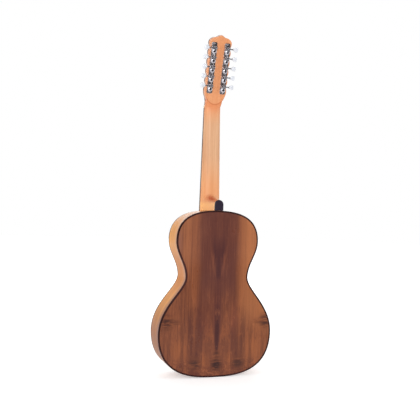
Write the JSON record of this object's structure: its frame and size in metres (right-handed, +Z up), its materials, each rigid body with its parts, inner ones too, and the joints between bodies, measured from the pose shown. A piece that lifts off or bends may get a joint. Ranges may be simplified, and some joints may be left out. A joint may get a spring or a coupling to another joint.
{
  "type": "viola caipira",
  "caption": "Small-bodied steel-string folk guitar with paired strings, a solid flared head, open worm-gear tuners, a narrow waist and a flat bookmatched back.",
  "frame": {"origin": "lowest point of the body, middle of the overall width and depth", "axes": "+Z up along the neck, soundboard towards -Y, back towards +Y, treble side towards +X"},
  "size_m": [0.3196, 0.0981, 0.9348],
  "materials": {
    "cedar": "gloss lacquer on light orange cedar",
    "walnut": "gloss lacquer on dark figured walnut, bookmatched",
    "side_wood": "gloss lacquer on orange-brown wood",
    "spruce": "gloss lacquer on pale spruce",
    "block_wood": "bare pale wood",
    "ebony": "black-brown, satin",
    "bone": "polished bone",
    "nickel": "nickel-plated stamped steel",
    "brass": "nickel-washed brass",
    "steel": "plated steel",
    "string_steel": "bright steel wire",
    "pearloid": "white pearloid"
  },
  "bodies": {
    "instrument": {"neck": "cedar", "head_veneer": "ebony", "fingerboard": "ebony", "nut": "bone", "heel_cap": "ebony", "soundboard": "spruce", "rosette": "ebony", "back": "walnut", "treble_side": "side_wood", "bass_side": "side_wood", "front_binding": "ebony", "back_binding": "ebony", "neck_block": "block_wood", "end_block": "block_wood", "bridge": "ebony", "saddle": "bone", "treble_tuner_plate": "nickel", "bass_tuner_plate": "nickel", "treble_string_1": "string_steel", "treble_string_2": "string_steel", "treble_string_3": "string_steel", "treble_string_4": "string_steel", "treble_string_5": "string_steel", "bass_string_1": "string_steel", "bass_string_2": "string_steel", "bass_string_3": "string_steel", "bass_string_4": "string_steel", "bass_string_5": "string_steel"},
    "treble_tuner_1": {"treble_worm_1": "steel", "treble_button_1": "pearloid"},
    "treble_capstan_1": {"treble_post_1": "brass"},
    "treble_tuner_2": {"treble_worm_2": "steel", "treble_button_2": "pearloid"},
    "treble_capstan_2": {"treble_post_2": "brass"},
    "treble_tuner_3": {"treble_worm_3": "steel", "treble_button_3": "pearloid"},
    "treble_capstan_3": {"treble_post_3": "brass"},
    "treble_tuner_4": {"treble_worm_4": "steel", "treble_button_4": "pearloid"},
    "treble_capstan_4": {"treble_post_4": "brass"},
    "treble_tuner_5": {"treble_worm_5": "steel", "treble_button_5": "pearloid"},
    "treble_capstan_5": {"treble_post_5": "brass"},
    "bass_tuner_1": {"bass_worm_1": "steel", "bass_button_1": "pearloid"},
    "bass_capstan_1": {"bass_post_1": "brass"},
    "bass_tuner_2": {"bass_worm_2": "steel", "bass_button_2": "pearloid"},
    "bass_capstan_2": {"bass_post_2": "brass"},
    "bass_tuner_3": {"bass_worm_3": "steel", "bass_button_3": "pearloid"},
    "bass_capstan_3": {"bass_post_3": "brass"},
    "bass_tuner_4": {"bass_worm_4": "steel", "bass_button_4": "pearloid"},
    "bass_capstan_4": {"bass_post_4": "brass"},
    "bass_tuner_5": {"bass_worm_5": "steel", "bass_button_5": "pearloid"},
    "bass_capstan_5": {"bass_post_5": "brass"}
  },
  "joints": [
    {"name": "treble_button_turn_1", "type": "hinge", "parent": "instrument", "child": "treble_tuner_1", "pos_m": [0.0189, 0.0016, 0.79493], "axis": [1, 0, 0], "continuous": true},
    {"name": "treble_post_turn_1", "type": "hinge", "parent": "instrument", "child": "treble_capstan_1", "pos_m": [0.0189, -0.00666, 0.78794], "axis": [0, 0.9608, -0.2773], "continuous": true},
    {"name": "treble_button_turn_2", "type": "hinge", "parent": "instrument", "child": "treble_tuner_2", "pos_m": [0.0189, 0.00874, 0.81966], "axis": [1, 0, 0], "continuous": true},
    {"name": "treble_post_turn_2", "type": "hinge", "parent": "instrument", "child": "treble_capstan_2", "pos_m": [0.0189, 0.00048, 0.81267], "axis": [0, 0.9608, -0.2773], "continuous": true},
    {"name": "treble_button_turn_3", "type": "hinge", "parent": "instrument", "child": "treble_tuner_3", "pos_m": [0.0189, 0.01588, 0.84439], "axis": [1, 0, 0], "continuous": true},
    {"name": "treble_post_turn_3", "type": "hinge", "parent": "instrument", "child": "treble_capstan_3", "pos_m": [0.0189, 0.00761, 0.8374], "axis": [0, 0.9608, -0.2773], "continuous": true},
    {"name": "treble_button_turn_4", "type": "hinge", "parent": "instrument", "child": "treble_tuner_4", "pos_m": [0.0189, 0.02301, 0.86912], "axis": [1, 0, 0], "continuous": true},
    {"name": "treble_post_turn_4", "type": "hinge", "parent": "instrument", "child": "treble_capstan_4", "pos_m": [0.0189, 0.01475, 0.86213], "axis": [0, 0.9608, -0.2773], "continuous": true},
    {"name": "treble_button_turn_5", "type": "hinge", "parent": "instrument", "child": "treble_tuner_5", "pos_m": [0.0189, 0.03015, 0.89385], "axis": [1, 0, 0], "continuous": true},
    {"name": "treble_post_turn_5", "type": "hinge", "parent": "instrument", "child": "treble_capstan_5", "pos_m": [0.0189, 0.02189, 0.88687], "axis": [0, 0.9608, -0.2773], "continuous": true},
    {"name": "bass_button_turn_1", "type": "hinge", "parent": "instrument", "child": "bass_tuner_1", "pos_m": [-0.0189, 0.0016, 0.79493], "axis": [1, 0, 0], "continuous": true},
    {"name": "bass_post_turn_1", "type": "hinge", "parent": "instrument", "child": "bass_capstan_1", "pos_m": [-0.0189, -0.00666, 0.78794], "axis": [0, 0.9608, -0.2773], "continuous": true},
    {"name": "bass_button_turn_2", "type": "hinge", "parent": "instrument", "child": "bass_tuner_2", "pos_m": [-0.0189, 0.00874, 0.81966], "axis": [1, 0, 0], "continuous": true},
    {"name": "bass_post_turn_2", "type": "hinge", "parent": "instrument", "child": "bass_capstan_2", "pos_m": [-0.0189, 0.00048, 0.81267], "axis": [0, 0.9608, -0.2773], "continuous": true},
    {"name": "bass_button_turn_3", "type": "hinge", "parent": "instrument", "child": "bass_tuner_3", "pos_m": [-0.0189, 0.01588, 0.84439], "axis": [1, 0, 0], "continuous": true},
    {"name": "bass_post_turn_3", "type": "hinge", "parent": "instrument", "child": "bass_capstan_3", "pos_m": [-0.0189, 0.00761, 0.8374], "axis": [0, 0.9608, -0.2773], "continuous": true},
    {"name": "bass_button_turn_4", "type": "hinge", "parent": "instrument", "child": "bass_tuner_4", "pos_m": [-0.0189, 0.02301, 0.86912], "axis": [1, 0, 0], "continuous": true},
    {"name": "bass_post_turn_4", "type": "hinge", "parent": "instrument", "child": "bass_capstan_4", "pos_m": [-0.0189, 0.01475, 0.86213], "axis": [0, 0.9608, -0.2773], "continuous": true},
    {"name": "bass_button_turn_5", "type": "hinge", "parent": "instrument", "child": "bass_tuner_5", "pos_m": [-0.0189, 0.03015, 0.89385], "axis": [1, 0, 0], "continuous": true},
    {"name": "bass_post_turn_5", "type": "hinge", "parent": "instrument", "child": "bass_capstan_5", "pos_m": [-0.0189, 0.02189, 0.88687], "axis": [0, 0.9608, -0.2773], "continuous": true}
  ],
  "couplings": [
    {"joint": "treble_post_turn_1", "follows": "treble_button_turn_1", "ratio": -0.071429},
    {"joint": "treble_post_turn_2", "follows": "treble_button_turn_2", "ratio": -0.071429},
    {"joint": "treble_post_turn_3", "follows": "treble_button_turn_3", "ratio": -0.071429},
    {"joint": "treble_post_turn_4", "follows": "treble_button_turn_4", "ratio": -0.071429},
    {"joint": "treble_post_turn_5", "follows": "treble_button_turn_5", "ratio": -0.071429},
    {"joint": "bass_post_turn_1", "follows": "bass_button_turn_1", "ratio": -0.071429},
    {"joint": "bass_post_turn_2", "follows": "bass_button_turn_2", "ratio": -0.071429},
    {"joint": "bass_post_turn_3", "follows": "bass_button_turn_3", "ratio": -0.071429},
    {"joint": "bass_post_turn_4", "follows": "bass_button_turn_4", "ratio": -0.071429},
    {"joint": "bass_post_turn_5", "follows": "bass_button_turn_5", "ratio": -0.071429}
  ]
}
